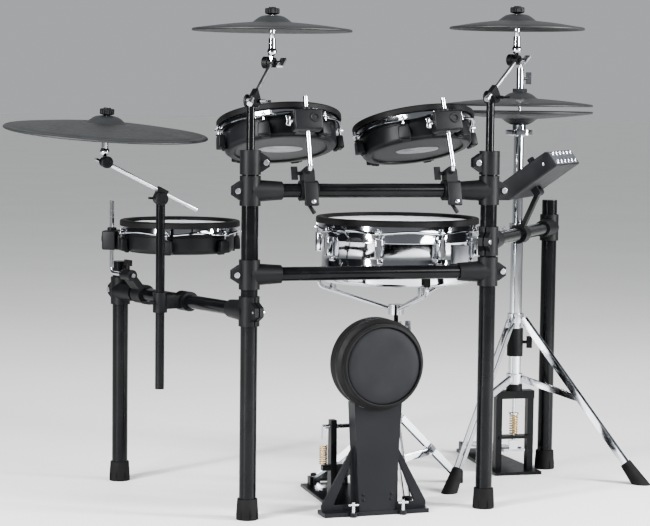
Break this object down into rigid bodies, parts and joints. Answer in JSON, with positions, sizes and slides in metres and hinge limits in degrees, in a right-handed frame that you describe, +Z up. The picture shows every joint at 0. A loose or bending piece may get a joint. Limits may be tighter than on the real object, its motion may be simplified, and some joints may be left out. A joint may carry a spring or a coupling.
{
  "type": "electronic drum kit",
  "caption": "Electronic drum kit: tube rack with mesh tom pads, rubber cymbal pads and sound module, with snare, hi-hat and kick pads on stands and pedals.",
  "frame": {"origin": "on the floor, in the underside of the kick stand's base bar", "axes": "+X to the viewer's right along the kit's width, +Y from the audience to the drummer, +Z up"},
  "size_m": [1.5432, 1.0566, 1.1591],
  "materials": {
    "satin_black_tube": "satin black powder coat",
    "black_clamp": "fine-grained black moulding",
    "black_rubber": "matt black rubber",
    "chrome": "polished chrome plate",
    "cymbal_rubber": "dark grey rubber with fine turned rings",
    "shell_black": "black moulding, low gloss",
    "mesh": "pale woven mesh",
    "black_metal": "semi-gloss black paint",
    "kick_rubber": "black rubber and cloth-backed head",
    "module_plastic": "dark grey moulding",
    "key_plastic": "grey keys and knobs",
    "spring_steel": "brass-coloured spring wire",
    "bright_steel": "plain drawn steel",
    "strap_cloth": "woven black strap"
  },
  "bodies": {
    "rack": {"front_pipes": "satin_black_tube", "rack_clamps": "black_clamp", "rack_feet": "black_rubber", "snare_stand": "chrome", "hihat_stand": "chrome", "hihat_frame": "black_metal", "hihat_bottom": "cymbal_rubber", "hihat_spring": "spring_steel", "kick_tower": "black_metal", "kick_pad": "kick_rubber", "kick_pedal_frame": "black_metal", "kick_spring": "bright_steel", "kick_strap": "strap_cloth"},
    "left_wing": {"left_wing_pipes": "satin_black_tube", "left_wing_clamps": "black_clamp", "left_wing_foot": "black_rubber"},
    "right_wing": {"right_wing_pipes": "satin_black_tube", "right_wing_clamps": "black_clamp", "right_wing_foot": "black_rubber", "module_bracket": "black_clamp"},
    "crash_left_mast": {"crash_left_mast": "satin_black_tube"},
    "crash_left_boom": {"crash_left_boom": "chrome"},
    "crash_left_tilter": {"crash_left_tilter": "chrome"},
    "crash_left_cymbal": {"crash_left_cymbal": "cymbal_rubber"},
    "crash_right_mast": {"crash_right_mast": "satin_black_tube"},
    "crash_right_boom": {"crash_right_boom": "chrome"},
    "crash_right_tilter": {"crash_right_tilter": "chrome"},
    "crash_right_cymbal": {"crash_right_cymbal": "cymbal_rubber"},
    "ride_mast": {"ride_mast": "satin_black_tube"},
    "ride_boom": {"ride_boom": "chrome"},
    "ride_tilter": {"ride_tilter": "chrome"},
    "ride_cymbal": {"ride_cymbal": "cymbal_rubber"},
    "tom_left": {"tom_left_clamp": "black_clamp", "tom_left_rod": "chrome", "tom_left_shell": "shell_black", "tom_left_head": "mesh", "tom_left_hoop": "chrome"},
    "tom_right": {"tom_right_clamp": "black_clamp", "tom_right_rod": "chrome", "tom_right_shell": "shell_black", "tom_right_head": "mesh", "tom_right_hoop": "chrome"},
    "floor_tom": {"floor_tom_rod": "chrome", "floor_tom_shell": "shell_black", "floor_tom_head": "mesh", "floor_tom_hoop": "chrome"},
    "snare_post": {"snare_post": "chrome"},
    "snare": {"snare_basket": "chrome", "snare_shell": "chrome", "snare_head": "mesh", "snare_hoop": "chrome"},
    "hihat_footboard": {"hihat_footboard": "bright_steel"},
    "hihat_rod": {"hihat_rod": "chrome", "hihat_top": "cymbal_rubber"},
    "kick_footboard": {"kick_footboard": "bright_steel"},
    "kick_beater": {"kick_beater": "bright_steel"},
    "module_case": {"module_case": "module_plastic"},
    "module_dial": {"module_dial": "key_plastic"},
    "module_knob": {"module_knob": "key_plastic"},
    "module_buttons": {"module_buttons": "key_plastic"}
  },
  "joints": [
    {"name": "left_wing_hinge", "type": "hinge", "parent": "rack", "child": "left_wing", "pos_m": [-0.284, -0.085, 0], "axis": [0, 0, 1], "range_deg": [-3, 20]},
    {"name": "right_wing_hinge", "type": "hinge", "parent": "rack", "child": "right_wing", "pos_m": [0.25727, 0.08048, 0], "axis": [0, 0, 1], "range_deg": [-20, 1]},
    {"name": "crash_left_mast_slide", "type": "slide", "parent": "rack", "child": "crash_left_mast", "axis": [0, 0, 1], "range_m": [-0.06, 0.04]},
    {"name": "crash_left_boom_hinge", "type": "hinge", "parent": "crash_left_mast", "child": "crash_left_boom", "pos_m": [-0.27826, -0.0872, 0.934], "axis": [-0.9336, 0.3584, 0], "range_deg": [-10, 15]},
    {"name": "crash_left_tilter_hinge", "type": "hinge", "parent": "crash_left_boom", "child": "crash_left_tilter", "pos_m": [-0.24094, -0.00715, 1.02008], "axis": [-0.9336, 0.3584, 0], "range_deg": [-15, 15]},
    {"name": "crash_left_cymbal_hinge", "type": "hinge", "parent": "crash_left_tilter", "child": "crash_left_cymbal", "pos_m": [-0.24094, -0.00715, 1.11014], "axis": [1, 0, 0], "range_deg": [-7, 7], "stiffness_Nm_per_rad": 20},
    {"name": "crash_right_mast_slide", "type": "slide", "parent": "rack", "child": "crash_right_mast", "axis": [0, 0, 1], "range_m": [-0.06, 0.04]},
    {"name": "crash_right_boom_hinge", "type": "hinge", "parent": "crash_right_mast", "child": "crash_right_boom", "pos_m": [0.26218, 0.07678, 0.949], "axis": [-0.7986, 0.6018, 0], "range_deg": [-10, 15]},
    {"name": "crash_right_tilter_hinge", "type": "hinge", "parent": "crash_right_boom", "child": "crash_right_tilter", "pos_m": [0.32012, 0.14345, 1.03508], "axis": [-0.7986, 0.6018, 0], "range_deg": [-15, 15]},
    {"name": "crash_right_cymbal_hinge", "type": "hinge", "parent": "crash_right_tilter", "child": "crash_right_cymbal", "pos_m": [0.32012, 0.14345, 1.12514], "axis": [1, 0, 0], "range_deg": [-7, 7], "stiffness_Nm_per_rad": 20},
    {"name": "ride_mast_slide", "type": "slide", "parent": "left_wing", "child": "ride_mast", "axis": [0, 0, 1], "range_m": [-0.06, 0.04]},
    {"name": "ride_boom_hinge", "type": "hinge", "parent": "ride_mast", "child": "ride_boom", "pos_m": [-0.49839, 0.09456, 0.707], "axis": [0.4226, -0.9063, 0], "range_deg": [-5, 15]},
    {"name": "ride_tilter_hinge", "type": "hinge", "parent": "ride_boom", "child": "ride_tilter", "pos_m": [-0.61983, 0.04471, 0.79138], "axis": [0.4226, -0.9063, 0], "range_deg": [-15, 15]},
    {"name": "ride_cymbal_hinge", "type": "hinge", "parent": "ride_tilter", "child": "ride_cymbal", "pos_m": [-0.61581, 0.04057, 0.88118], "axis": [0.9981, 0, -0.0611], "range_deg": [-7, 7], "stiffness_Nm_per_rad": 20},
    {"name": "tom_left_hinge", "type": "hinge", "parent": "rack", "child": "tom_left", "pos_m": [-0.15585, -0.04582, 0.736], "axis": [0.9563, 0.2924, 0], "range_deg": [-10, 10]},
    {"name": "tom_right_hinge", "type": "hinge", "parent": "rack", "child": "tom_right", "pos_m": [0.16833, 0.05329, 0.736], "axis": [0.9563, 0.2924, 0], "range_deg": [-10, 10]},
    {"name": "floor_tom_hinge", "type": "hinge", "parent": "left_wing", "child": "floor_tom", "pos_m": [-0.63191, 0.32987, 0.515], "axis": [-0.585, 0.8111, 0], "range_deg": [-10, 10]},
    {"name": "snare_post_slide", "type": "slide", "parent": "rack", "child": "snare_post", "axis": [0, 0, 1], "range_m": [-0.03, 0.03]},
    {"name": "snare_hinge", "type": "hinge", "parent": "snare_post", "child": "snare", "pos_m": [0.055, 0.27, 0.398], "axis": [1, 0, 0], "range_deg": [-8, 8]},
    {"name": "hihat_footboard_hinge", "type": "hinge", "parent": "rack", "child": "hihat_footboard", "pos_m": [0.28939, 0.83091, 0.024], "axis": [-0.9659, -0.2588, 0], "range_deg": [-2.1, 0], "stiffness_Nm_per_rad": 60},
    {"name": "hihat_rod_slide", "type": "slide", "parent": "rack", "child": "hihat_rod", "axis": [0, 0, 1], "range_m": [-0.011, 0], "deforming": ["hihat_spring"]},
    {"name": "kick_footboard_hinge", "type": "hinge", "parent": "rack", "child": "kick_footboard", "pos_m": [-0.10353, 0.30068, 0.024], "axis": [0.9455, 0.3256, 0], "range_deg": [0, 10.8], "stiffness_Nm_per_rad": 20},
    {"name": "kick_beater_hinge", "type": "hinge", "parent": "rack", "child": "kick_beater", "pos_m": [-0.02344, 0.06808, 0.192], "axis": [0.9455, 0.3256, 0], "range_deg": [0, 48.2], "deforming": ["kick_spring", "kick_strap"]},
    {"name": "module_case_hinge", "type": "hinge", "parent": "right_wing", "child": "module_case", "pos_m": [0.39592, 0.3256, 0.722], "axis": [0.3469, 0.9379, 0], "range_deg": [-10, 15]},
    {"name": "module_dial_hinge", "type": "hinge", "parent": "module_case", "child": "module_dial", "pos_m": [0.42162, 0.39287, 0.7924], "axis": [-0.5513, 0.2039, 0.809], "continuous": true},
    {"name": "module_knob_hinge", "type": "hinge", "parent": "module_case", "child": "module_knob", "pos_m": [0.37205, 0.24487, 0.79592], "axis": [-0.5513, 0.2039, 0.809], "range_deg": [-150, 150]},
    {"name": "module_buttons_slide", "type": "slide", "parent": "module_case", "child": "module_buttons", "axis": [-0.5513, 0.2039, 0.809], "range_m": [-0.0015, 0], "stiffness_N_per_m": 1500}
  ],
  "couplings": [
    {"joint": "kick_beater_hinge", "follows": "kick_footboard_hinge", "ratio": 4.43},
    {"joint": "hihat_rod_slide", "follows": "hihat_footboard_hinge", "m_per_rad": 0.296}
  ]
}
